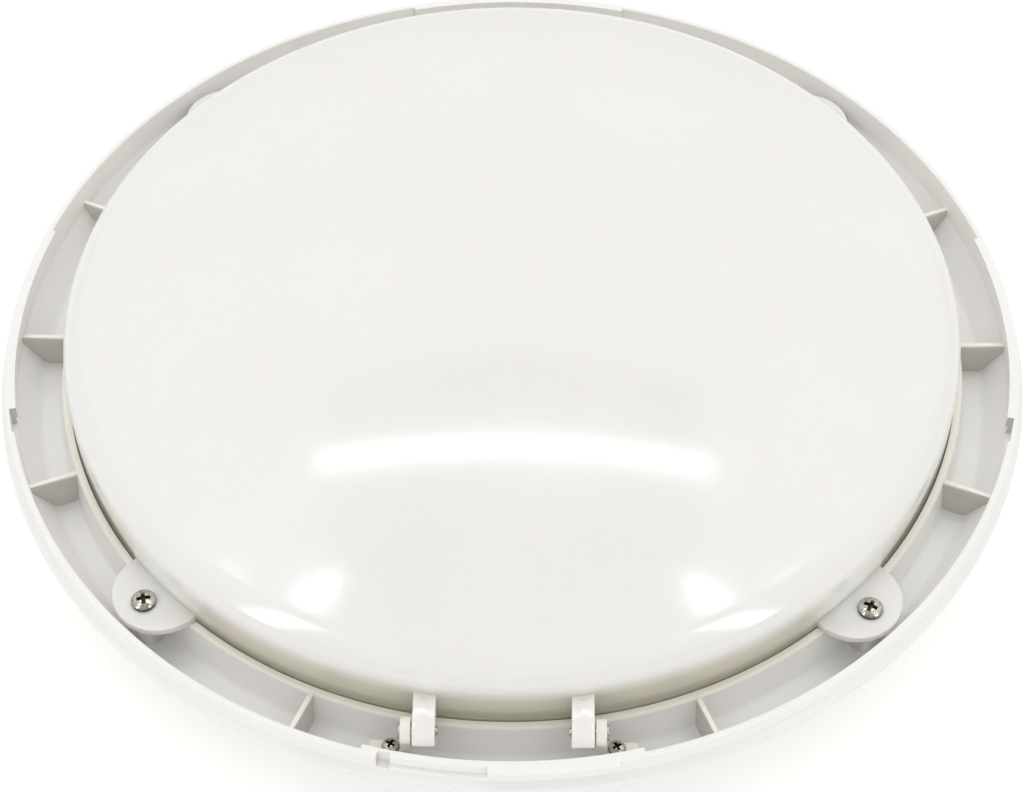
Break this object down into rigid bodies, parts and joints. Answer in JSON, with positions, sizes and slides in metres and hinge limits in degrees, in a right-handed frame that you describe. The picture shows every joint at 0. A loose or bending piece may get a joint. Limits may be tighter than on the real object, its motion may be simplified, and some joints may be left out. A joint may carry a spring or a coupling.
{
  "type": "emergency ceiling light",
  "caption": "Round surface-mounted emergency ceiling light: opal domed diffuser hinged in a white moulded base with a ribbed outer channel, screwed down at half-round ears",
  "frame": {"origin": "centre of the flat back face that goes to the ceiling, which is also the bottom centre of the part", "axes": "+Z points from the ceiling into the room through the crown of the diffuser, the hinge is at -Y, +X is to the right when the hinge is nearest and the diffuser faces the viewer"},
  "size_m": [0.3498, 0.3498, 0.09],
  "materials": {
    "housing_white": "moulded white thermoplastic, satin",
    "opal": "moulded opal acrylic, smooth",
    "seal_white": "white silicone",
    "bracket_white": "moulded white nylon",
    "pin_steel": "bright stainless pin",
    "screw_dark": "black zinc plated",
    "screw_zinc": "bright zinc plated",
    "insert_brass": "turned brass",
    "tray_paint": "white powder coat on sheet steel",
    "board_white": "white solder mask",
    "chip_yellow": "phosphor coated package",
    "rivet_aluminium": "blind rivet",
    "lens_clear": "clear moulding, polished",
    "case_white": "moulded white case",
    "cell_sleeve": "green shrink sleeve",
    "cap_black": "black rubber",
    "holder_white": "moulded nylon",
    "terminal_cream": "moulded polyamide",
    "switch_black": "moulded black case",
    "button_green": "moulded green button",
    "lead_white": "white insulation",
    "lead_red": "red insulation"
  },
  "bodies": {
    "base": {"base_housing": "housing_white", "battery_cells": "cell_sleeve", "battery_end_caps": "cap_black", "battery_holders": "holder_white", "board_connectors": "holder_white", "board_rivets": "rivet_aluminium", "charge_indicator": "lens_clear", "ear_inserts": "insert_brass", "emergency_board": "board_white", "emergency_lens": "lens_clear", "emergency_module": "case_white", "entry_plug": "cap_black", "gear_screws": "screw_zinc", "gear_tray": "tray_paint", "hinge_bracket_left": "bracket_white", "hinge_bracket_right": "bracket_white", "hinge_pins": "pin_steel", "hinge_screws": "screw_dark", "lead_battery": "lead_red", "lead_boards": "lead_white", "lead_clips": "holder_white", "lead_emergency": "lead_red", "lead_mains": "lead_white", "lead_switch": "lead_red", "led_boards": "board_white", "led_chips": "chip_yellow", "led_driver": "case_white", "sealing_gasket": "seal_white", "terminal_block": "terminal_cream", "terminal_screws": "screw_zinc", "test_switch": "switch_black", "tray_grommets": "cap_black", "tray_screws": "screw_zinc"},
    "diffuser_door": {"diffuser": "opal"},
    "test_key": {"test_button": "button_green"},
    "screw_front_right": {"ear_screw_front_right": "screw_dark"},
    "screw_rear_right": {"ear_screw_rear_right": "screw_dark"},
    "screw_rear_left": {"ear_screw_rear_left": "screw_dark"},
    "screw_front_left": {"ear_screw_front_left": "screw_dark"}
  },
  "joints": [
    {"name": "diffuser_hinge", "type": "hinge", "parent": "base", "child": "diffuser_door", "pos_m": [0, -0.1595, 0.0455], "axis": [1, 0, 0], "range_deg": [0, 100]},
    {"name": "test_button_press", "type": "slide", "parent": "base", "child": "test_key", "axis": [0, 0, -1], "range_m": [0, 0.002], "stiffness_N_per_m": 600, "springref_m": -0.001},
    {"name": "ear_screw_front_right_lift", "type": "slide", "parent": "diffuser_door", "child": "screw_front_right", "axis": [0, 0, 1], "range_m": [0, 0.008]},
    {"name": "ear_screw_rear_right_lift", "type": "slide", "parent": "diffuser_door", "child": "screw_rear_right", "axis": [0, 0, 1], "range_m": [0, 0.008]},
    {"name": "ear_screw_rear_left_lift", "type": "slide", "parent": "diffuser_door", "child": "screw_rear_left", "axis": [0, 0, 1], "range_m": [0, 0.008]},
    {"name": "ear_screw_front_left_lift", "type": "slide", "parent": "diffuser_door", "child": "screw_front_left", "axis": [0, 0, 1], "range_m": [0, 0.008]}
  ]
}
